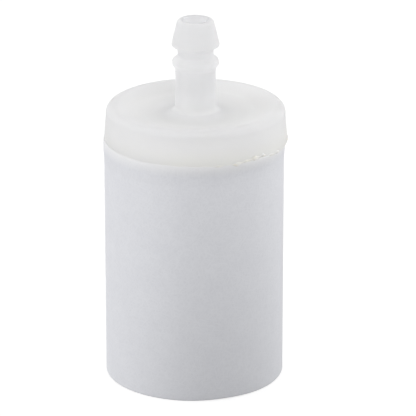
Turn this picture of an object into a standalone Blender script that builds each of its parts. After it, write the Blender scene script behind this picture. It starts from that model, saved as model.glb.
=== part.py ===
"""In-tank fuel filter for a small two-stroke engine.

A moulded head with a barbed hose nipple closes the top of a felt roll. The roll is
wound on a slotted core, covered by a non-woven wrap and closed below by a cup that
holds a steel ballast ring. Fuel soaks in through the wrap and the felt, passes the
core's slots and leaves up the nipple. Nothing moves: the pieces are plugged and potted.

Units are metres, +Z is up, and the origin is the centre of the face the filter stands on.
"""

import math

import bmesh
import bpy
from mathutils import Matrix

MM = 0.001

# Driving dimensions
BODY_R = 10.0 * MM
BODY_H = 27.0 * MM
HEAD_H = 3.9 * MM
NIPPLE_H = 10.0 * MM
FUEL_BORE_R = 1.25 * MM
FIT = 0.1 * MM
TURN_STEPS = 48

# Wrap: one sheet of non-woven fabric, turned in under the base
WRAP_T = 0.4 * MM
WRAP_FLARE = 0.12 * MM
WRAP_FLARE_H = 2.0 * MM
HEM_R = 7.0 * MM
HEM_FOLD_R = 0.6 * MM

# Head: skirt, dished top and hose nipple
BOND_LINE = 0.2 * MM
HEAD_Z = BODY_H + 2 * FIT + BOND_LINE
SKIRT_R = 10.18 * MM
RIM_R = 9.88 * MM
RIM_ROUND = 0.45 * MM
RIM_LAND = 1.45 * MM
DISH_DEPTH = 0.42 * MM
DISH_FLOOR_R = 6.3 * MM
SKIRT_T = 1.05 * MM
TOP_T = 1.15 * MM
SOCKET_R = 3.1 * MM
BOSS_T = 1.0 * MM

TIP_R = 2.0 * MM
TIP_ROUND = 0.45 * MM
TIP_CHAMFER = 0.15 * MM
CONE_H = 2.7 * MM
BARB_R = 2.6 * MM
BARB_ROUND = 0.2 * MM
NECK_R = 2.0 * MM
BEAD_DROP = 4.95 * MM
BEAD_R = 2.55 * MM
BEAD_HALF_H = 0.55 * MM
STEM_R = 2.26 * MM
STEM_FILLET = 0.5 * MM

# Core: a slotted tube between the cup's stub and the head's socket
CORE_R = 3.6 * MM
CORE_BORE_R = 2.3 * MM
COLLAR_R = 4.2 * MM
SPIGOT_H = 2.0 * MM
SLOT_W = 1.2 * MM
SLOT_H = 3.8 * MM
SLOT_ROWS = 4
SLOT_COLUMNS = 6
SLOT_END_STEPS = 4

# Base cup and the ballast in it
CUP_LIFT = 0.15 * MM
CUP_FLOOR_T = 1.1 * MM
CUP_WALL_T = 0.9 * MM
CUP_H = 6.0 * MM
STUB_H = 3.4 * MM
STUB_CHAMFER = 0.3 * MM
BALLAST_H = 3.5 * MM
BALLAST_CHAMFER = 0.3 * MM

# Felt strip, wound round the core
FELT_T = 1.4 * MM
FELT_TURN_GAP = 0.08 * MM
FELT_TIP_T = 0.3 * MM
FELT_STEPS_PER_TURN = 32

# Places that follow from the sizes above
WRAP_IN_R = BODY_R - WRAP_T
CUP_R = WRAP_IN_R - FIT
CUP_FLOOR_Z = WRAP_T + FIT
CUP_TOP_Z = CUP_FLOOR_Z + CUP_H
CUP_IN_R = CUP_R - CUP_WALL_T
CUP_SEAT_Z = CUP_FLOOR_Z + CUP_FLOOR_T + FIT
COLLAR_TOP_Z = CUP_TOP_Z
FELT_Z = CUP_TOP_Z + FIT
FELT_H = BODY_H - FELT_Z
FELT_IN_R = CORE_R + FIT
FELT_OUT_R = WRAP_IN_R - FIT
RIM_Z = HEAD_Z + HEAD_H
DISH_Z = RIM_Z - DISH_DEPTH
CEILING_Z = DISH_Z - TOP_T
TIP_Z = RIM_Z + NIPPLE_H
BOSS_Z = HEAD_Z
CORE_SHOULDER_Z = BOSS_Z - FIT
SPIGOT_R = SOCKET_R - FIT
POTTING_TOP_Z = HEAD_Z + 0.35 * HEAD_H

# Colours are linear RGB, then roughness and metallic
FINISHES = {
    "natural_nylon": ((0.80, 0.80, 0.79), 0.35, 0.0),
    "white_polypropylene": ((0.78, 0.78, 0.77), 0.45, 0.0),
    "spunbond_polyester": ((0.68, 0.69, 0.71), 0.9, 0.0),
    "polyester_felt": ((0.72, 0.72, 0.70), 0.95, 0.0),
    "hot_melt": ((0.70, 0.66, 0.50), 0.4, 0.0),
    "zinc_plated_steel": ((0.55, 0.56, 0.58), 0.3, 1.0),
}


def clear_scene():
    for obj in list(bpy.data.objects):
        bpy.data.objects.remove(obj, do_unlink=True)


def new_collection(name):
    collection = bpy.data.collections.new(name)
    bpy.context.scene.collection.children.link(collection)
    return collection


def make_material(name):
    colour, roughness, metallic = FINISHES[name]
    material = bpy.data.materials.new(name)
    material.use_nodes = True
    shader = material.node_tree.nodes["Principled BSDF"]
    shader.inputs["Base Color"].default_value = (*colour, 1.0)
    shader.inputs["Roughness"].default_value = roughness
    shader.inputs["Metallic"].default_value = metallic
    return material


def add_part(name, data, finish, parts, root):
    """One sub-part: an object in the parts collection, carried by the filter's root empty."""
    obj = bpy.data.objects.new(name, data)
    data.materials.append(make_material(finish))
    parts.objects.link(obj)
    obj.parent = root
    return obj


def arc(centre_r, centre_z, radius, start_deg, end_deg, steps):
    """Points of a circular arc in the profile plane, both ends included."""
    angles = [math.radians(start_deg + (end_deg - start_deg) * i / steps) for i in range(steps + 1)]
    return [(centre_r + radius * math.cos(a), centre_z + radius * math.sin(a)) for a in angles]


def turned(name, profile, finish, parts, root):
    """A closed (radius, height) profile, given down its outer side, turned about Z."""
    mesh = bpy.data.meshes.new(name)
    count = len(profile)
    on_axis = profile[0][0] == 0.0 and profile[-1][0] == 0.0
    edges = [(i, (i + 1) % count) for i in range(count - 1 if on_axis else count)]
    mesh.from_pydata([(r, 0.0, z) for r, z in profile], edges, [])
    obj = add_part(name, mesh, finish, parts, root)
    screw = obj.modifiers.new("turn", "SCREW")
    screw.axis = "Z"
    screw.angle = math.tau
    screw.steps = screw.render_steps = TURN_STEPS
    screw.use_merge_vertices = True
    screw.merge_threshold = 1e-6
    screw.use_smooth_shade = True
    return obj


def nipple_profile():
    """Outside of the hose nipple, from the bore's mouth at the tip down to the dish."""
    shoulder_z = TIP_Z - CONE_H - 1.5 * BARB_ROUND
    bead_z = TIP_Z - BEAD_DROP
    bead_steps = 6
    profile = [(FUEL_BORE_R, TIP_Z - TIP_CHAMFER), (FUEL_BORE_R + TIP_CHAMFER, TIP_Z)]
    profile += arc(TIP_R - TIP_ROUND, TIP_Z - TIP_ROUND, TIP_ROUND, 90, 12, 4)
    profile += arc(BARB_R - BARB_ROUND, shoulder_z + BARB_ROUND, BARB_ROUND, 12, -90, 4)
    profile += [(NECK_R, shoulder_z)]
    for i in range(bead_steps + 1):
        angle = math.radians(90 - 180 * i / bead_steps)
        foot_r = NECK_R if i < bead_steps / 2 else STEM_R
        profile.append((foot_r + (BEAD_R - foot_r) * math.cos(angle), bead_z + BEAD_HALF_H * math.sin(angle)))
    profile += arc(STEM_R + STEM_FILLET, DISH_Z + STEM_FILLET, STEM_FILLET, 180, 270, 4)
    return profile


def make_head(parts, root):
    """Moulded head: nipple, dished top, drafted skirt, and a socket for the core inside."""
    skirt_edge = 0.12 * MM
    rim_in_r = RIM_R - RIM_LAND - RIM_ROUND
    profile = nipple_profile()
    profile += [(DISH_FLOOR_R, DISH_Z), (rim_in_r, RIM_Z)]
    profile += arc(RIM_R - RIM_ROUND, RIM_Z - RIM_ROUND, RIM_ROUND, 90, 4, 5)
    profile += [
        (SKIRT_R, HEAD_Z + skirt_edge),
        (SKIRT_R - skirt_edge, HEAD_Z),
        (SKIRT_R - SKIRT_T, HEAD_Z),
        (RIM_R - SKIRT_T, CEILING_Z),
        (SOCKET_R + BOSS_T, CEILING_Z),
        (SOCKET_R + BOSS_T, BOSS_Z),
        (SOCKET_R, BOSS_Z),
        (SOCKET_R, CORE_SHOULDER_Z + SPIGOT_H + 2 * FIT),
        (FUEL_BORE_R, CORE_SHOULDER_Z + SPIGOT_H + SOCKET_R - FUEL_BORE_R),
    ]
    return turned("head", profile, "natural_nylon", parts, root)


def make_head_potting(parts, root):
    """Hot melt poured in the head: it seals the felt's end and squeezes out under the skirt."""
    bead_r = BODY_R + WRAP_FLARE
    potting_in_r = SOCKET_R + BOSS_T + FIT
    plug_r = SKIRT_R - SKIRT_T - 2 * FIT
    bottom_z = BODY_H + FIT
    profile = [
        (plug_r - FIT, POTTING_TOP_Z),
        (plug_r, bottom_z + BOND_LINE),
        (bead_r - BOND_LINE / 2, bottom_z + BOND_LINE),
        (bead_r, bottom_z + BOND_LINE / 2),
        (bead_r - BOND_LINE / 2, bottom_z),
        (potting_in_r, bottom_z),
        (potting_in_r, POTTING_TOP_Z),
    ]
    return turned("head_potting", profile, "hot_melt", parts, root)


def make_outer_wrap(parts, root):
    """Non-woven sleeve: plain wall, a slight flare at the head and a hem turned in below."""
    profile = [
        (BODY_R + WRAP_FLARE, BODY_H),
        (BODY_R + WRAP_FLARE / 3, BODY_H - WRAP_FLARE_H / 2),
        (BODY_R, BODY_H - WRAP_FLARE_H),
    ]
    profile += arc(BODY_R - HEM_FOLD_R, HEM_FOLD_R, HEM_FOLD_R, 0, -90, 4)
    profile += [(HEM_R, 0.0), (HEM_R, WRAP_T)]
    profile += arc(BODY_R - HEM_FOLD_R, HEM_FOLD_R, HEM_FOLD_R - WRAP_T, -90, 0, 2)
    profile += [(WRAP_IN_R, BODY_H - WRAP_FLARE_H), (WRAP_IN_R + WRAP_FLARE, BODY_H)]
    return turned("outer_wrap", profile, "spunbond_polyester", parts, root)


def make_base_cup(parts, root):
    """Moulded cup: its foot fills the hem's opening and its stub plugs the core."""
    foot_r = HEM_R - FIT
    floor_top_z = CUP_FLOOR_Z + CUP_FLOOR_T
    stub_r = CORE_BORE_R - FIT
    stub_top_z = floor_top_z + STUB_H
    profile = [
        (0.0, stub_top_z),
        (stub_r - STUB_CHAMFER, stub_top_z),
        (stub_r, stub_top_z - STUB_CHAMFER),
        (stub_r, floor_top_z),
        (CUP_IN_R, floor_top_z),
        (CUP_IN_R, CUP_TOP_Z),
        (CUP_R, CUP_TOP_Z),
        (CUP_R, CUP_FLOOR_Z + HEM_FOLD_R - WRAP_T),
        (CUP_R - HEM_FOLD_R + WRAP_T, CUP_FLOOR_Z),
        (foot_r, CUP_FLOOR_Z),
        (foot_r, CUP_LIFT),
        (0.0, CUP_LIFT),
    ]
    return turned("base_cup", profile, "white_polypropylene", parts, root)


def make_ballast_ring(parts, root):
    """Steel ring that keeps the filter on the tank's floor."""
    outer_r = CUP_IN_R - FIT
    inner_r = COLLAR_R + FIT
    top_z = CUP_SEAT_Z + BALLAST_H
    c = BALLAST_CHAMFER
    profile = [
        (outer_r - c, top_z),
        (outer_r, top_z - c),
        (outer_r, CUP_SEAT_Z + c),
        (outer_r - c, CUP_SEAT_Z),
        (inner_r + c, CUP_SEAT_Z),
        (inner_r, CUP_SEAT_Z + c),
        (inner_r, top_z - c),
        (inner_r + c, top_z),
    ]
    return turned("ballast_ring", profile, "zinc_plated_steel", parts, root)


def make_base_potting(parts, root):
    """Hot melt over the ballast: it locks the ring in the cup and seals the felt's lower end."""
    bottom_z = CUP_SEAT_Z + BALLAST_H + FIT
    outer_r = CUP_IN_R - FIT
    inner_r = COLLAR_R + FIT
    profile = [(outer_r, CUP_TOP_Z), (outer_r, bottom_z), (inner_r, bottom_z), (inner_r, CUP_TOP_Z)]
    return turned("base_potting", profile, "hot_melt", parts, root)


def slot_mesh():
    """One slot's cutter: a bar along X with round upper and lower ends."""
    mesh = bpy.data.meshes.new("core_slot")
    bm = bmesh.new()
    size = Matrix.Diagonal((CORE_R, SLOT_W, SLOT_H, 1.0))
    bmesh.ops.create_cube(bm, size=1.0, matrix=size)
    along_x = [e for e in bm.edges if abs(e.verts[0].co.x - e.verts[1].co.x) > CORE_R / 2]
    bmesh.ops.bevel(
        bm, geom=along_x, offset=0.49 * SLOT_W, offset_type="OFFSET",
        segments=SLOT_END_STEPS, profile=0.5, affect="EDGES",
    )
    bm.to_mesh(mesh)
    bm.free()
    return mesh


def make_core(parts, cutters, root):
    """Slotted core: a collar on the cup's floor, a slotted tube and a spigot for the head."""
    profile = [
        (SPIGOT_R - FIT, CORE_SHOULDER_Z + SPIGOT_H),
        (SPIGOT_R, CORE_SHOULDER_Z + SPIGOT_H - 3 * FIT),
        (SPIGOT_R, CORE_SHOULDER_Z),
        (CORE_R, CORE_SHOULDER_Z),
        (CORE_R, COLLAR_TOP_Z),
        (COLLAR_R, COLLAR_TOP_Z),
        (COLLAR_R, CUP_SEAT_Z),
        (CORE_BORE_R, CUP_SEAT_Z),
        (CORE_BORE_R, CORE_SHOULDER_Z + SPIGOT_H),
    ]
    core = turned("core_cage", profile, "white_polypropylene", parts, root)
    cutter_mesh = slot_mesh()
    row_pitch = FELT_H / SLOT_ROWS
    slot_r = (CORE_R + CORE_BORE_R) / 2
    for row in range(SLOT_ROWS):
        for column in range(SLOT_COLUMNS):
            angle = math.tau * (column + 0.5) / SLOT_COLUMNS
            slot = bpy.data.objects.new(f"slot_{row}_{column}", cutter_mesh)
            slot.location = (
                slot_r * math.cos(angle),
                slot_r * math.sin(angle),
                FELT_Z + row_pitch * (row + 0.5),
            )
            slot.rotation_euler.z = angle
            slot.parent = root
            slot.hide_render = True
            slot.display_type = "WIRE"
            cutters.objects.link(slot)
    cut = core.modifiers.new("slots", "BOOLEAN")
    cut.operation = "DIFFERENCE"
    cut.operand_type = "COLLECTION"
    cut.collection = cutters
    return core


def felt_outline():
    """Closed outline of a strip wound on the core, both ends skived so that it rolls up round.

    Its outer face is a spiral that starts a tip's thickness off the core. Its inner face
    follows the turn below at the turn gap. Both are held between the core and the wrap.
    """
    pitch = FELT_T + FELT_TURN_GAP
    start_r = FELT_IN_R + FELT_TIP_T
    turns = 1 + (FELT_OUT_R - FELT_TIP_T - start_r - FELT_TURN_GAP) / pitch
    steps = round(turns * FELT_STEPS_PER_TURN)
    outer, inner = [], []
    for i in range(steps + 1):
        turn = turns * i / steps
        outer_r = min(FELT_OUT_R, start_r + pitch * turn)
        inner_r = max(FELT_IN_R, start_r + FELT_TURN_GAP + pitch * (turn - 1))
        angle = math.tau * turn
        outer.append((outer_r * math.cos(angle), outer_r * math.sin(angle)))
        inner.append((inner_r * math.cos(angle), inner_r * math.sin(angle)))
    return outer + inner[::-1]


def make_felt_roll(parts, root):
    """Felt strip, several turns, as tall as the space between the cup and the head."""
    curve = bpy.data.curves.new("felt_roll", "CURVE")
    curve.dimensions = "2D"
    curve.fill_mode = "BOTH"
    curve.extrude = FELT_H / 2
    outline = felt_outline()
    spline = curve.splines.new("POLY")
    spline.points.add(len(outline) - 1)
    for point, (x, y) in zip(spline.points, outline):
        point.co = (x, y, 0.0, 1.0)
    spline.use_cyclic_u = True
    felt = add_part("felt_roll", curve, "polyester_felt", parts, root)
    felt.location.z = FELT_Z + FELT_H / 2
    return felt


def main():
    clear_scene()
    parts = new_collection("fuel_filter")
    cutters = new_collection("cutters")
    root = bpy.data.objects.new("filter_axis", None)
    parts.objects.link(root)
    make_head(parts, root)
    make_head_potting(parts, root)
    make_outer_wrap(parts, root)
    make_felt_roll(parts, root)
    make_core(parts, cutters, root)
    make_base_potting(parts, root)
    make_ballast_ring(parts, root)
    make_base_cup(parts, root)


main()
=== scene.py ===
import math

import bmesh
import bpy
import numpy as np
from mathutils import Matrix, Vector


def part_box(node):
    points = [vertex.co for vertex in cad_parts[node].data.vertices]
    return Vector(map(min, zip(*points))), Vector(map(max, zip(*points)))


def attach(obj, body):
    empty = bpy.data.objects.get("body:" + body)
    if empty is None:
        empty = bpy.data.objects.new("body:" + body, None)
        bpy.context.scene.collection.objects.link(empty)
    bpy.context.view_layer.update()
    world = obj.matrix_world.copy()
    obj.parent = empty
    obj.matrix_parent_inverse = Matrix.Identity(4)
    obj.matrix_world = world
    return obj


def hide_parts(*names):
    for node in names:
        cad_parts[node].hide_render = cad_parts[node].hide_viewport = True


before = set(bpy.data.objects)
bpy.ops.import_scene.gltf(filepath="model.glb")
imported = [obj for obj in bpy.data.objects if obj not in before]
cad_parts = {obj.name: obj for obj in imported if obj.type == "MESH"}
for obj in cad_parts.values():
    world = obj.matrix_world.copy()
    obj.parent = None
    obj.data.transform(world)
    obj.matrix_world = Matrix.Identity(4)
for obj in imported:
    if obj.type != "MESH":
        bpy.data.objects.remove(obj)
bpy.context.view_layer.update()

mm = 0.001
tau = 2 * math.pi
rng = np.random.default_rng(11)
headLow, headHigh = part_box("head")
meltLow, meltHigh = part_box("head_potting")
feltLow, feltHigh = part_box("felt_roll")
cupLow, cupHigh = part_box("base_cup")
print("frame loaded:", sorted(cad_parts))


# Small helpers

def hexToLinear(code):
    # sRGB hex to linear RGBA
    s = np.array([int(code[i:i + 2], 16) for i in (1, 3, 5)]) / 255
    linear = np.where(s <= 0.04045, s / 12.92, ((s + 0.055) / 1.055) ** 2.4)
    return (*linear.tolist(), 1.0)


def addNode(tree, kind, settings, links=None):
    # one node: settings go to its sockets, or else to its own properties
    node = tree.nodes.new(kind)
    for key, value in settings.items():
        if isinstance(key, int) or key in node.inputs:
            node.inputs[key].default_value = value
        else:
            setattr(node, key, value)
    for key, source in (links or {}).items():
        tree.links.new(source, node.inputs[key])
    return node


def newMaterial(name):
    material = bpy.data.materials.new(name)
    material.use_nodes = True
    material.node_tree.nodes.clear()
    return material, material.node_tree


def noise(tree, place, size, detail=3.0, roughness=0.5):
    # soft noise whose blots are about size across, in the units of place
    settings = {"Scale": 1 / size, "Detail": detail, "Roughness": roughness}
    return addNode(tree, "ShaderNodeTexNoise", settings, {"Vector": place}).outputs["Fac"]


def between(tree, value, start, end, low=0.0, high=1.0):
    # low up to start, high from end on, and even steps in between
    settings = {"From Min": start, "From Max": end, "To Min": low, "To Max": high}
    return addNode(tree, "ShaderNodeMapRange", settings, {"Value": value}).outputs["Result"]


def towards(tree, below, value, amount):
    # what is below where amount is 0, value where it is 1
    links = {"Value": amount, "To Min": below}
    return addNode(tree, "ShaderNodeMapRange", {"To Max": value}, links).outputs["Result"]


def times(tree, a, b):
    return addNode(tree, "ShaderNodeMath", {"operation": "MULTIPLY"}, {0: a, 1: b}).outputs[0]


def largest(tree, a, b):
    return addNode(tree, "ShaderNodeMath", {"operation": "MAXIMUM"}, {0: a, 1: b}).outputs[0]


def twoTones(tree, amount, first, second):
    settings = {"Color1": hexToLinear(first), "Color2": hexToLinear(second)}
    return addNode(tree, "ShaderNodeMixRGB", settings, {"Fac": amount}).outputs["Color"]


def over(tree, below, colour, amount):
    # a colour laid over what is below
    return addNode(tree, "ShaderNodeMixRGB", {"Color2": hexToLinear(colour)},
                   {"Color1": below, "Fac": amount}).outputs["Color"]


def relief(tree, height, depth, strength):
    return addNode(tree, "ShaderNodeBump", {"Strength": strength, "Distance": depth * mm},
                   {"Height": height}).outputs["Normal"]


def surface(tree, shader):
    addNode(tree, "ShaderNodeOutputMaterial", {}, {"Surface": shader})


def eased(value, start, end):
    # 0 up to start, 1 from end on, with a smooth step in between
    share = np.clip((value - start) / (end - start), 0, 1)
    return share * share * (3 - 2 * share)


def near(angle, place, width):
    # a soft bump round one angle
    away = (angle - place + math.pi) % tau - math.pi
    return np.exp(-(away / width) ** 2)


def roundedOutline(corners, steps=6):
    # closed outline through (radius, height, corner radius) corners, in mm: each corner becomes an
    # arc that is tangent to both its sides, worked out for all corners at once
    c = np.array(corners, float)
    p, rad = c[:, :2], np.maximum(c[:, 2:], 0.01)
    a = np.roll(p, 1, 0) - p
    b = np.roll(p, -1, 0) - p
    a /= np.linalg.norm(a, axis=1, keepdims=True)
    b /= np.linalg.norm(b, axis=1, keepdims=True)
    half = np.arccos(np.clip((a * b).sum(1, keepdims=True), -1, 1)) / 2
    mid = (a + b) / np.linalg.norm(a + b, axis=1, keepdims=True)
    centre = p + mid * rad / np.sin(half)
    start = p + a * rad / np.tan(half) - centre
    turn = np.arctan2(a[:, :1] * b[:, 1:] - a[:, 1:] * b[:, :1], (a * b).sum(1, keepdims=True))
    sweep = (np.sign(turn) * math.pi - turn) * np.linspace(0, 1, steps + 1)
    x = centre[:, :1] + np.cos(sweep) * start[:, :1] + np.sin(sweep) * start[:, 1:]
    y = centre[:, 1:] - np.sin(sweep) * start[:, :1] + np.cos(sweep) * start[:, 1:]
    return np.stack([x, y], -1).reshape(-1, 2)


def resample(outline, step):
    # the same closed outline with extra points along its long straight sides
    nextPoint = np.roll(outline, -1, 0)
    counts = np.maximum(1, np.round(np.linalg.norm(nextPoint - outline, axis=1) / step)).astype(int)
    row = np.repeat(np.arange(len(outline)), counts)
    share = np.concatenate([np.arange(n) / n for n in counts])[:, None]
    return outline[row] * (1 - share) + nextPoint[row] * share


def ringGrid(outline, turns):
    # points[i, j]: outline point i turned to angle j about Z, in mm
    angle = np.arange(turns) * tau / turns
    r, z = outline[:, :1], outline[:, 1:]
    return np.stack([r * np.cos(angle), r * np.sin(angle), z + 0 * angle], -1), angle


def along(outline):
    # distance round a closed outline at each point, and at the first point again
    sides = np.linalg.norm(np.diff(outline, axis=0, append=outline[:1]), axis=1)
    return np.concatenate([[0], np.cumsum(sides)])


def gridPiece(name, points, wrapRows=True, wrapCols=True, uv=None, weld=False):
    # a mesh object from a grid of points in mm, with quads between neighbours. A grid that closes in
    # rows and not in columns gets a flat face at each end. Welding closes rows that meet on the axis
    rows, cols = points.shape[:2]
    rowStarts = np.arange(rows if wrapRows else rows - 1)
    colStarts = np.arange(cols if wrapCols else cols - 1)
    i, j = (axis.ravel() for axis in np.meshgrid(rowStarts, colStarts, indexing="ij"))
    iNext, jNext = i + 1, j + 1
    low, high = i * cols, iNext % rows * cols
    faces = np.stack([low + j, high + j, high + jNext % cols, low + jNext % cols], 1).tolist()
    if wrapRows and not wrapCols:
        first = np.arange(rows) * cols
        faces += [first[::-1].tolist(), (first + cols - 1).tolist()]
    mesh = bpy.data.meshes.new(name)
    mesh.from_pydata((points.reshape(-1, 3) * mm).tolist(), [], faces)
    if uv is not None:
        uRow, vCol = uv
        ends = ((i, j), (iNext, j), (iNext, jNext), (i, jNext))
        flat = np.stack([np.stack([vCol[jj], uRow[ii]], 1) for ii, jj in ends], 1)
        layer = mesh.uv_layers.new(name="surface")
        spare = np.zeros(2 * len(layer.data) - flat.size)
        layer.data.foreach_set("uv", np.concatenate([flat.ravel(), spare]).astype(np.float32))
    if weld:
        shape = bmesh.new()
        shape.from_mesh(mesh)
        bmesh.ops.remove_doubles(shape, verts=shape.verts, dist=0.0005 * mm)
        shape.to_mesh(mesh)
        shape.free()
    mesh.shade_smooth()
    mesh.validate()
    piece = bpy.data.objects.new(name, mesh)
    bpy.context.scene.collection.objects.link(piece)
    return piece


def dress(piece, material, slotName, *nodes):
    # finish, body and the solids that the piece stands for
    piece.data.materials.clear()
    piece.data.materials.append(material)
    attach(piece, "root")
    if nodes:
        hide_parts(*nodes)


# Materials

def naturalNylon():
    # unpigmented nylon: milky, nearly white. Light comes through its walls from behind, which evens out
    # the shading, and a little clear depth makes its outlines greyer. The skin is satin
    material, tree = newMaterial("naturalNylon")
    place = addNode(tree, "ShaderNodeTexCoord", {}).outputs["Object"]
    apart = addNode(tree, "ShaderNodeSeparateXYZ", {}, {"Vector": place})
    height = apart.outputs["Z"]
    level = addNode(tree, "ShaderNodeVectorMath", {"operation": "MULTIPLY", 1: (1, 1, 0)}, {0: place})
    reach = addNode(tree, "ShaderNodeVectorMath", {"operation": "LENGTH"}, {0: level.outputs[0]})
    radius = reach.outputs["Value"]
    nipple = between(tree, height, 31.2 * mm, 34 * mm)
    top = between(tree, radius, 8.2 * mm, 6.2 * mm)
    dish = times(tree, between(tree, radius, 9 * mm, 7 * mm), between(tree, radius, 3 * mm, 5 * mm))
    boreShade = between(tree, radius, 1.8 * mm, 1.4 * mm)
    footShade = between(tree, height, 32.8 * mm, 31.2 * mm)
    footShade = times(tree, footShade, between(tree, radius, 2.8 * mm, 2.3 * mm))
    band = times(tree, between(tree, height, 29.6 * mm, 28.2 * mm), noise(tree, place, 2.5 * mm))
    band = times(tree, band, between(tree, apart.outputs["X"], -5 * mm, -2 * mm))
    corner = between(tree, height, 30.5 * mm, 31.2 * mm)
    corner = times(tree, corner, between(tree, radius, 8.9 * mm, 9.6 * mm))

    tint = twoTones(tree, noise(tree, place, 3 * mm), "#FCFCFE", "#FFFFFF")
    tint = over(tree, tint, "#FCFCFC", nipple)
    tint = over(tree, tint, "#F8F8F8", between(tree, height, 37.8 * mm, 38.6 * mm))
    # painted shade: the dish's floor and slopes are tinted a little darker, as shade in the hollow
    tint = over(tree, tint, "#FAFAFA", dish)
    # painted shade: a darker ring round the stem's foot, where the stem shades the dish
    tint = over(tree, tint, "#F5F5F5", footShade)
    # painted shade: the bore's wall is tinted darker, as the shade deep inside it
    tint = over(tree, tint, "#E2E2E4", boreShade)
    # painted shade: the skirt is tinted darker towards its lower edge, as less light falls there
    tint = over(tree, tint, "#FBFBFB", between(tree, height, 31 * mm, 28.5 * mm))
    tint = over(tree, tint, "#FFFFFC", band)  # the glue behind the skirt's lower edge
    # the share of light that comes through: less at the rim's thick corner, which leaves a thin highlight
    through = between(tree, height, 28 * mm, 30.6 * mm, 0.5, 0.66)
    through = towards(tree, through, 0.58, corner)
    through = towards(tree, through, 0.3, top)
    through = times(tree, through, between(tree, radius, 3.6 * mm, 5.4 * mm, 0.78, 1.0))
    through = towards(tree, through, 0.75, nipple)

    grain = relief(tree, noise(tree, place, 0.5 * mm, 2.0), 0.02, 0.12)
    skin = addNode(tree, "ShaderNodeBsdfPrincipled",
                   {"Roughness": 0.5, "IOR": 1.53, "Specular IOR Level": 0.1},
                   {"Base Color": tint, "Normal": grain})
    glow = addNode(tree, "ShaderNodeBsdfTranslucent", {}, {"Color": tint})
    milky = addNode(tree, "ShaderNodeMixShader", {},
                    {"Fac": through, 1: skin.outputs[0], 2: glow.outputs[0]})
    clear = addNode(tree, "ShaderNodeBsdfRefraction",
                    {"Color": (1, 1, 1, 1), "IOR": 1.53, "Roughness": 0.15})
    depth = between(tree, nipple, 0, 1, 0.15, 0.13)
    nylon = addNode(tree, "ShaderNodeMixShader", {},
                    {"Fac": depth, 1: milky.outputs[0], 2: clear.outputs[0]})
    surface(tree, nylon.outputs[0])
    return material


def spunbondPolyester():
    # spun-bonded polyester sheet: matt and cool white, a web of fibres and a cloudy density. Real fibres
    # are 0.03 mm wide, and are drawn about 0.2 mm wide here so that they show
    material, tree = newMaterial("spunbondPolyester")
    uv = addNode(tree, "ShaderNodeUVMap", {"uv_map": "surface"}).outputs["UV"]
    place = addNode(tree, "ShaderNodeTexCoord", {}).outputs["Object"]
    height = addNode(tree, "ShaderNodeSeparateXYZ", {}, {"Vector": place}).outputs["Z"]
    lays = []
    for turn in (0.2, -0.9, 1.3):
        lay = addNode(tree, "ShaderNodeMapping",
                      {"vector_type": "TEXTURE", "Rotation": (0, 0, turn), "Scale": (0.9, 0.2, 1)},
                      {"Vector": uv}).outputs["Vector"]
        lays.append(noise(tree, lay, 1.0, 2.0))
    web = largest(tree, largest(tree, lays[0], lays[1]), lays[2])
    tint = twoTones(tree, noise(tree, uv, 2.5, 4.0, 0.6), "#DDDEE3", "#E5E6EA")
    tint = over(tree, tint, "#D5D6DB", between(tree, web, 0.62, 0.45, 0, 0.35))
    glued = between(tree, height, 26.4 * mm, 27.6 * mm, 0, 0.7)
    tint = over(tree, tint, "#EEEEEE", glued)
    shader = addNode(tree, "ShaderNodeBsdfPrincipled",
                     {"Roughness": 0.95, "Specular IOR Level": 0.15,
                      "Sheen Weight": 0.15, "Sheen Roughness": 0.5},
                     {"Base Color": tint, "Normal": relief(tree, web, 0.05, 0.3)})
    surface(tree, shader.outputs[0])
    return material


def hotMelt(dull, pale):
    # hot-melt glue: waxy, pale, translucent, with soft ripples. What is squeezed out is a little duller
    material, tree = newMaterial("hotMelt")
    place = addNode(tree, "ShaderNodeTexCoord", {}).outputs["Object"]
    tint = twoTones(tree, noise(tree, place, 0.8 * mm, 2.0), dull, pale)
    ripples = relief(tree, noise(tree, place, 1.2 * mm), 0.05, 0.2)
    shader = addNode(tree, "ShaderNodeBsdfPrincipled",
                     {"Roughness": 0.45, "IOR": 1.48, "Subsurface Weight": 1.0, "Specular IOR Level": 0.3,
                      "Subsurface Radius": (1.0, 0.95, 0.8), "Subsurface Scale": 0.05 * mm},
                     {"Base Color": tint, "Normal": ripples})
    surface(tree, shader.outputs[0])
    return material


def polyesterFelt():
    # needled polyester felt: matt, warm white, short fibres in every direction
    material, tree = newMaterial("polyesterFelt")
    uv = addNode(tree, "ShaderNodeUVMap", {"uv_map": "surface"}).outputs["UV"]
    nap = noise(tree, uv, 0.35, 6.0, 0.75)
    tint = twoTones(tree, nap, "#D9D7D1", "#F0EFEB")
    shader = addNode(tree, "ShaderNodeBsdfPrincipled",
                     {"Roughness": 1.0, "Specular IOR Level": 0.1, "Sheen Weight": 0.3},
                     {"Base Color": tint, "Normal": relief(tree, nap, 0.12, 0.7)})
    surface(tree, shader.outputs[0])
    return material


def whitePolypropylene():
    # white polypropylene, moulded: satin, with faint cloudy flow marks and a fine spark-eroded grain
    material, tree = newMaterial("whitePolypropylene")
    place = addNode(tree, "ShaderNodeTexCoord", {}).outputs["Object"]
    tint = twoTones(tree, noise(tree, place, 4 * mm), "#E6E7E7", "#EEEEEC")
    grain = noise(tree, place, 0.15 * mm, 3.0)
    shader = addNode(tree, "ShaderNodeBsdfPrincipled",
                     {"IOR": 1.49, "Specular IOR Level": 0.4},
                     {"Base Color": tint, "Roughness": between(tree, grain, 0.3, 0.7, 0.38, 0.55),
                      "Normal": relief(tree, grain, 0.01, 0.2)})
    surface(tree, shader.outputs[0])
    return material


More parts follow.
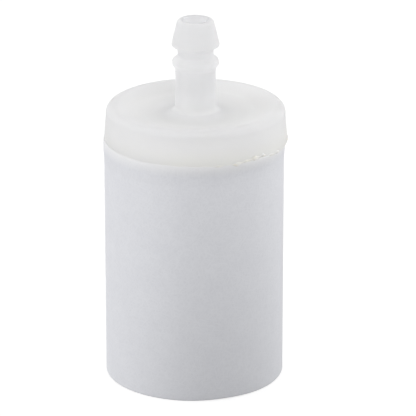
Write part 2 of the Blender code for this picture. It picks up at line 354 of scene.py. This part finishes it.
def zincPlatedSteel():
    # zinc-plated steel: bright grey metal with a cloudy, slightly blue passivated skin
    material, tree = newMaterial("zincPlatedSteel")
    place = addNode(tree, "ShaderNodeTexCoord", {}).outputs["Object"]
    spangle = noise(tree, place, 0.7 * mm, 5.0, 0.6)
    tint = twoTones(tree, spangle, "#B9BCC1", "#D3D4D5")
    shader = addNode(tree, "ShaderNodeBsdfPrincipled", {"Metallic": 1.0},
                     {"Base Color": tint, "Roughness": between(tree, spangle, 0.3, 0.7, 0.28, 0.48)})
    surface(tree, shader.outputs[0])
    return material


# Head: nipple, dished top and skirt, turned from one outline

head = {
    "boreR": 1.25, "tipR": 2.0, "tipRound": 0.45,
    "coneDrop": 2.9, "barbR": 2.68, "neckDrop": 3.35, "neckR": 2.0,
    "beadStart": 4.1, "beadTop": 4.62, "beadBottom": 5.14, "beadEnd": 5.52, "beadR": 2.58,
    "stemR": 2.26, "stemFillet": 0.6,
    "dishDepth": 0.42, "dishFloorR": 6.3,
    "rimInnerR": 8.75, "rimR": 9.9, "rimRound": 0.8, "rimLift": 0.17,
    "nippleH": 10.0, "skirtR": 10.18, "skirtT": 1.05, "topT": 1.15,
    "socketR": 3.1, "bossT": 1.0, "socketDepth": 2.1, "turns": 192,
}


def makeHead():
    # surface: a closed outline with rounded corners, turned about Z
    h = head
    tip = headHigh[2] / mm
    low = headLow[2] / mm
    rim = tip - h["nippleH"]
    dish = rim - h["dishDepth"]
    ceiling = dish - h["topT"]
    socketTop = low + h["socketDepth"]
    corners = [
        (h["boreR"], tip, 0.15),
        (h["tipR"], tip, h["tipRound"]),
        (h["barbR"], tip - h["coneDrop"], 0.25),
        (h["neckR"], tip - h["neckDrop"], 0.2),
        (h["neckR"], tip - h["beadStart"], 0.15),
        (h["beadR"], tip - h["beadTop"], 0.3),
        (h["beadR"], tip - h["beadBottom"], 0.3),
        (h["stemR"], tip - h["beadEnd"], 0.4),
        (h["stemR"], dish, h["stemFillet"]),
        (h["dishFloorR"], dish, 2.5),
        (h["rimInnerR"], rim + h["rimLift"], 2.0),
        (h["rimR"], rim + h["rimLift"], h["rimRound"]),
        (h["skirtR"], low, 0.05),
        (h["skirtR"] - h["skirtT"], low, 0.1),
        (h["rimR"] - h["skirtT"], ceiling, 0.3),
        (h["socketR"] + h["bossT"], ceiling, 0.3),
        (h["socketR"] + h["bossT"], low, 0.1),
        (h["socketR"], low, 0.1),
        (h["socketR"], socketTop, 0.1),
        (h["boreR"], socketTop + h["socketR"] - h["boreR"], 0.2),
    ]
    points = ringGrid(roundedOutline(corners), h["turns"])[0]
    piece = gridPiece("headMoulding", points)
    dress(piece, naturalNylon(), "natural_nylon", "head")
    print("head:", len(piece.data.polygons), "faces")


# Wrap: one sheet round the felt. Its upper edge is glued over the skirt's lower edge, except at the right
# and behind, and its hem is turned in below

wrap = {
    "bodyR": 10.0, "thickness": 0.27, "flare": 0.12, "flareH": 2.0, "top": 27.3,
    "hemR": 7.15, "foldR": 0.14, "lean": -0.17, "edgeWave": 0.06, "outOfRound": 0.02,
    "coverR": 10.19, "coverT": 0.03, "coverLow": 26.3, "coverRise": 0.42,
    "draft": 0.09, "draftFrom": 27.4,
    "coverFrom": -0.3, "coverTo": -0.75, "coverBackFrom": 2.4, "coverBackTo": 2.9,
    "lapAngle": 1.9, "lapWidth": 0.6, "lapStep": 0.18, "lapFade": 25.0, "lapEnd": 27.0,
    "peelAngle": -2.9, "peelWidth": 0.4, "peelRise": 0.05, "peelT": 0.05,
    "liftAngle": -1.2, "liftWidth": 0.3, "lift": 0.08,
    "pleats": 34, "pleatDepth": 0.12, "step": 0.3, "turns": 240,
}


def edgeCover(angle):
    # 1 where the wrap's edge lies over the skirt, from the front right round the left to the back
    w = wrap
    turned = (angle + math.pi) % tau - math.pi
    front = eased(turned, w["coverFrom"], w["coverTo"])
    back = eased(turned, w["coverBackFrom"], w["coverBackTo"])
    return front + back


def edgeRise(angle):
    # how far the cut edge stands above its lowest line
    w = wrap
    wander = w["edgeWave"] * np.abs(np.sin(9 * angle + 2 * np.sin(4 * angle)))
    peel = w["peelRise"] * near(angle, w["peelAngle"], w["peelWidth"])
    return edgeCover(angle) * (w["coverRise"] + peel) - wander


def makeWrap():
    # surface: the sheet's section, down the outside and up the inside, turned about Z. It is pushed out
    # by slow waves and by the lap, its edge thins and steps out over the drafted skirt, and the hem rises
    # in pleats
    w = wrap
    inner = w["bodyR"] - w["thickness"]
    corners = [
        (w["bodyR"] + w["flare"], w["top"], 0.04),
        (w["bodyR"], w["top"] - w["flareH"], 2.0),
        (w["bodyR"], 0, w["foldR"]),
        (w["hemR"], 0, 0.1),
        (w["hemR"], w["thickness"], 0.1),
        (inner, w["thickness"], 0.15),
        (inner, w["top"] - w["flareH"], 2.0),
        (inner + w["flare"], w["top"], 0.04),
    ]
    outline = resample(roundedOutline(corners), w["step"])
    points, angle = ringGrid(outline, w["turns"])
    r, z = outline[:, :1], outline[:, 1:]
    wave = sum(np.sin(k * angle + rng.uniform(0, tau)) / k for k in (2, 3, 5))
    past = (angle - w["lapAngle"]) % tau
    lap = np.where(past < w["lapWidth"], 1 - (past / w["lapWidth"]) ** 4, 0)
    lap = w["lapStep"] * lap * np.clip(z, 0, 1) * (1 - eased(z, w["lapFade"], w["lapEnd"]))
    push = w["outOfRound"] * wave + lap
    gather = np.clip((w["bodyR"] - r) / (w["bodyR"] - w["hemR"]), 0, 1) * (z < w["thickness"] + 0.2)
    pleat = w["pleatDepth"] * gather * (0.5 + 0.5 * np.sin(w["pleats"] * angle + 2 * np.sin(3 * angle)))
    lift = w["lift"] * near(angle, w["liftAngle"], w["liftWidth"]) * np.clip(1 - z, 0, 1)

    flared = w["flare"] * eased(z, w["top"] - w["flareH"], w["top"])
    outside = np.clip((r - inner - flared) / w["thickness"], 0, 1)
    step = eased(z, w["coverLow"], w["top"] - 0.05)
    cover = step * edgeCover(angle)
    rise = step * edgeRise(angle)
    edgeT = w["coverT"] + w["peelT"] * near(angle, w["peelAngle"], w["peelWidth"])
    overR = w["coverR"] + edgeT * outside - w["draft"] * np.maximum(z + rise - w["draftFrom"], 0)
    radius = (r + push) * (1 - cover) + overR * cover
    points[..., 0] = radius * np.cos(angle) + w["lean"] * (1 - cover)
    points[..., 1] = radius * np.sin(angle)
    points[..., 2] += pleat + lift + rise
    uv = (along(outline), np.arange(w["turns"] + 1) * tau / w["turns"] * w["bodyR"])
    piece = gridPiece("wrapSleeve", points, uv=uv)
    dress(piece, spunbondPolyester(), "spunbond_polyester", "outer_wrap")


# Hot melt: a plug inside the skirt with a thin bond line under it, and a bead of glue squeezed out in
# drops along the wrap's edge at the right front. A drop is its angle, width, size and rise

melt = {
    "bondR": 10.05, "bondT": 0.08, "gap": 0.01, "plugR": 9.5, "plugTopR": 8.72, "innerR": 4.2,
    "skirtInR": 8.98, "lean": -0.06, "turns": 192, "dull": "#F6F5F2", "pale": "#FBFAF8",
}
bead = {
    "start": -1.5, "end": 0.2, "steps": 360, "around": 14,
    "thick": 0.12, "least": 0.003, "proud": 0.5, "sunk": 0.1, "tall": 2.2,
    "seatR": 10.2, "skirtR": 10.16, "skirtZ": 27.37, "dull": "#E9E8E5", "pale": "#EFEEEC",
    "drops": [
        (-1.32, 0.04, 0.4, 0.0), (-1.11, 0.05, 0.9, 0.0), (-1.0, 0.035, 0.6, 0.1),
        (-0.88, 0.045, 1.0, 0.25), (-0.76, 0.03, 0.6, 0.25), (-0.62, 0.04, 0.4, 0.1),
        (-0.49, 0.04, 0.6, 0.15), (-0.02, 0.05, 1.2, 0.25),
    ],
}


def makeMelt():
    # surface: a closed outline turned about Z, with the bond line shifted towards the left
    m = melt
    low, high = meltLow[2] / mm, meltHigh[2] / mm
    bondHigh = headLow[2] / mm - m["gap"]
    bondLow = bondHigh - m["bondT"]
    corners = [
        (m["bondR"], bondHigh, 0.03),
        (m["bondR"], bondLow, 0.03),
        (m["plugR"], bondLow, 0.02),
        (m["plugR"], low, 0.05),
        (m["innerR"], low, 0.05),
        (m["innerR"], high, 0.2),
        (m["plugTopR"], high, 0.3),
        (m["skirtInR"], bondHigh, 0.02),
    ]
    points = ringGrid(roundedOutline(corners), m["turns"])[0]
    points[..., 0] += m["lean"] * eased(np.hypot(points[..., 0], points[..., 1]), m["plugR"], m["bondR"])
    piece = gridPiece("meltBond", points)
    dress(piece, hotMelt(m["dull"], m["pale"]), "hot_melt", "head_potting")
    print("melt:", len(piece.data.polygons), "faces")


def makeBead():
    # surface: a small upright ellipse carried along the wrap's edge, swelling and rising at each drop
    b = bead
    angle = np.linspace(b["start"], b["end"], b["steps"])
    swell = sum(much * near(angle, place, width) for place, width, much, up in b["drops"])
    rise = sum(up * near(angle, place, 2 * width) for place, width, much, up in b["drops"])
    taper = eased(angle, b["start"], b["start"] + 0.1) * eased(angle, b["end"], b["end"] - 0.1)
    size = b["thick"] * swell * taper + b["least"]
    cover = edgeCover(angle)
    seatR = b["skirtR"] + (b["seatR"] - b["skirtR"]) * cover - wrap["draft"] * rise
    seatR = seatR + (b["proud"] - b["sunk"]) * size
    seatZ = b["skirtZ"] + (wrap["top"] + edgeRise(angle) - b["skirtZ"]) * cover + rise
    around = (np.arange(b["around"]) * tau / b["around"])[:, None]
    r = seatR + b["proud"] * size * np.cos(around)
    z = seatZ - b["tall"] * size * np.sin(around)
    points = np.stack([r * np.cos(angle), r * np.sin(angle), z], -1)
    piece = gridPiece("meltBead", points, wrapCols=False)
    dress(piece, hotMelt(b["dull"], b["pale"]), "hot_melt")
    print("bead:", len(piece.data.polygons), "faces")


# Felt: one strip wound on the core, thinned at both ends so that the roll is round

felt = {
    "coreR": 3.7, "outR": 9.5, "thick": 1.4, "gap": 0.08, "tip": 0.3, "corner": 0.2, "frayed": 0.06,
    "step": 0.8, "perTurn": 90,
}


def makeFelt():
    # surface: the strip's section, a rounded rectangle, carried along a spiral; its inner and outer faces
    # are held between the core and the wrap, which thins the first and last turns to a tip
    f = felt
    low, tall = feltLow[2] / mm, (feltHigh[2] - feltLow[2]) / mm
    pitch = f["thick"] + f["gap"]
    startR = f["coreR"] + f["tip"]
    turns = 1 + (f["outR"] - f["tip"] - startR - f["gap"]) / pitch
    turn = np.linspace(0, turns, round(turns * f["perTurn"]))
    outR = np.minimum(f["outR"], startR + pitch * turn)
    inR = np.maximum(f["coreR"], startR + f["gap"] + pitch * (turn - 1))
    ends = ((f["thick"], tall), (f["thick"], 0), (0, 0), (0, tall))
    corners = [(across, up, f["corner"]) for across, up in ends]
    section = resample(roundedOutline(corners), f["step"])
    across, up = section[:, :1] / f["thick"], section[:, 1:]
    angle = tau * turn
    r = inR + across * (outR - inR)
    side = 2 * up / tall - 1
    fray = side * np.abs(f["frayed"] * (np.sin(7 * angle) + np.sin(17.3 * angle + 1)) / 2)
    points = np.stack([r * np.cos(angle), r * np.sin(angle), low + up - fray], -1)
    middle = (inR + outR) / 2
    length = np.concatenate([[0], np.cumsum((middle[1:] + middle[:-1]) / 2 * np.diff(angle))])
    piece = gridPiece("feltStrip", points, wrapCols=False, uv=(along(section), length))
    dress(piece, polyesterFelt(), "polyester_felt", "felt_roll")
    print("felt:", len(piece.data.polygons), "faces, strip", length[-1], "by", tall)


# Base cup: its foot shows inside the hem, with the moulding's gate in the middle

cup = {
    "stubR": 2.2, "stubTop": 5.0, "stubChamfer": 0.3, "floorTop": 1.6, "inR": 8.6, "outR": 9.5,
    "floorLow": 0.5, "foldR": 0.2, "footR": 6.9, "ringR": 6.1, "ringDepth": 0.12,
    "gateR": 1.1, "gateDepth": 0.15, "turns": 144,
}


def makeCup():
    # surface: an outline from the stub's top to the gate, both on the axis, turned about Z
    c = cup
    low, high = cupLow[2] / mm, cupHigh[2] / mm
    corners = [
        (0, c["stubTop"], 0),
        (c["stubR"], c["stubTop"], c["stubChamfer"]),
        (c["stubR"], c["floorTop"], 0.1),
        (c["inR"], c["floorTop"], 0.2),
        (c["inR"], high, 0.1),
        (c["outR"], high, 0.2),
        (c["outR"], c["floorLow"], c["foldR"]),
        (c["footR"], c["floorLow"], 0.1),
        (c["footR"], low, 0.15),
        (c["ringR"], low, 0.1),
        (c["ringR"] - 0.15, low + c["ringDepth"], 0.1),
        (c["gateR"] + 0.15, low + c["ringDepth"], 0.1),
        (c["gateR"], low + c["ringDepth"] + c["gateDepth"], 0.1),
        (0.35, low + c["ringDepth"] + c["gateDepth"], 0.05),
        (0.3, low + c["ringDepth"], 0.1),
        (0, low + c["ringDepth"], 0),
    ]
    outline = roundedOutline(corners)
    outline[:, 0] = np.where(outline[:, 0] < 0.02, 0, outline[:, 0])
    points = ringGrid(outline, c["turns"])[0]
    piece = gridPiece("cupMoulding", points, weld=True)
    dress(piece, whitePolypropylene(), "white_polypropylene", "base_cup")
    print("cup:", len(piece.data.polygons), "faces")


# The solids that stay as they are get their real finishes

def finishSolids():
    finishes = {
        "core_cage": whitePolypropylene(),
        "base_potting": hotMelt(melt["dull"], melt["pale"]),
        "ballast_ring": zincPlatedSteel(),
    }
    for node, material in finishes.items():
        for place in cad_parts[node].material_slots:
            place.material = material
    print("solids finished:", sorted(finishes))


# Stage, light and camera

camera = {
    "distance": 373.7, "elevation": 19.08, "height": 27.9,
    "aimHeight": 19.22, "aside": 1.37, "focal": 291.0,
}


def makeCamera():
    c = camera
    up = math.radians(c["elevation"])
    back, rise = c["distance"] * math.cos(up), c["distance"] * math.sin(up)
    place = Vector((c["aside"], -back, c["height"] + rise)) * mm
    aim = Vector((c["aside"], 0, c["aimHeight"])) * mm
    data = bpy.data.cameras.new("photoCamera")
    data.lens = c["focal"]
    data.sensor_width = 36
    data.clip_start = 0.01
    obj = bpy.data.objects.new("photoCamera", data)
    obj.location = place
    obj.rotation_euler = (aim - place).to_track_quat("-Z", "Y").to_euler()
    bpy.context.scene.collection.objects.link(obj)
    bpy.context.scene.camera = obj
    print("camera at", tuple(round(v, 4) for v in place))


lights = {
    "left": {"place": (-298, -26, 48), "aim": 22, "size": 200, "spread": 180, "power": 0.49},
    "rightBack": {"place": (259, 149, 48), "aim": 22, "size": 200, "spread": 180, "power": 0.373},
    "top": {"place": (0, 20, 330), "aim": 22, "size": 220, "spread": 180, "power": 0.1},
    "front": {"place": (52, -103, 59), "aim": 34, "size": 60, "spread": 35, "power": 0.0025},
}
room = {"ambient": 0.76, "floorAlbedo": 0.35, "floorGlow": 0.72, "floorSize": 900}


def makeLights():
    for name, l in lights.items():
        data = bpy.data.lights.new(name, "AREA")
        data.shape = "DISK"
        data.size = l["size"] * mm
        data.energy = l["power"]
        data.spread = math.radians(l["spread"])
        obj = bpy.data.objects.new(name, data)
        obj.location = Vector(l["place"]) * mm
        aim = Vector((0, 0, l["aim"] * mm)) - obj.location
        obj.rotation_euler = aim.to_track_quat("-Z", "Y").to_euler()
        bpy.context.scene.collection.objects.link(obj)
    print("lights:", len(lights))


def seenDirectly(tree):
    # 1 for camera, glossy and transmission rays
    path = addNode(tree, "ShaderNodeLightPath", {}).outputs
    seen = largest(tree, path["Is Camera Ray"], path["Is Glossy Ray"])
    return largest(tree, seen, path["Is Transmission Ray"])


def makeRoom():
    world = bpy.data.worlds.new("whiteRoom")
    bpy.context.scene.world = world
    world.use_nodes = True
    tree = world.node_tree
    tree.nodes.clear()
    level = between(tree, seenDirectly(tree), 0, 1, room["ambient"], 1.0)
    glow = addNode(tree, "ShaderNodeBackground", {"Color": (1, 1, 1, 1)}, {"Strength": level})
    addNode(tree, "ShaderNodeOutputWorld", {}, {"Surface": glow.outputs["Background"]})

    half = room["floorSize"] / 2
    x, y = np.meshgrid([half, -half], [-half, half])
    floor = gridPiece("floor", np.stack([x, y, 0 * x], -1), wrapRows=False, wrapCols=False)
    material, tree = newMaterial("paleFloor")
    matt = addNode(tree, "ShaderNodeBsdfDiffuse", {"Color": (*[room["floorAlbedo"]] * 3, 1)})
    lift = between(tree, seenDirectly(tree), 0, 1, 0, room["floorGlow"])
    glow = addNode(tree, "ShaderNodeEmission", {"Color": (1, 1, 1, 1)}, {"Strength": lift})
    both = addNode(tree, "ShaderNodeAddShader", {}, {0: matt.outputs[0], 1: glow.outputs[0]})
    surface(tree, both.outputs[0])
    floor.data.materials.append(material)
    print("room: white world and pale floor")


makeCamera()
makeHead()
makeMelt()
makeWrap()
makeBead()
makeFelt()
makeCup()
finishSolids()
makeLights()
makeRoom()

bpy.context.scene.view_settings.view_transform = "Standard"
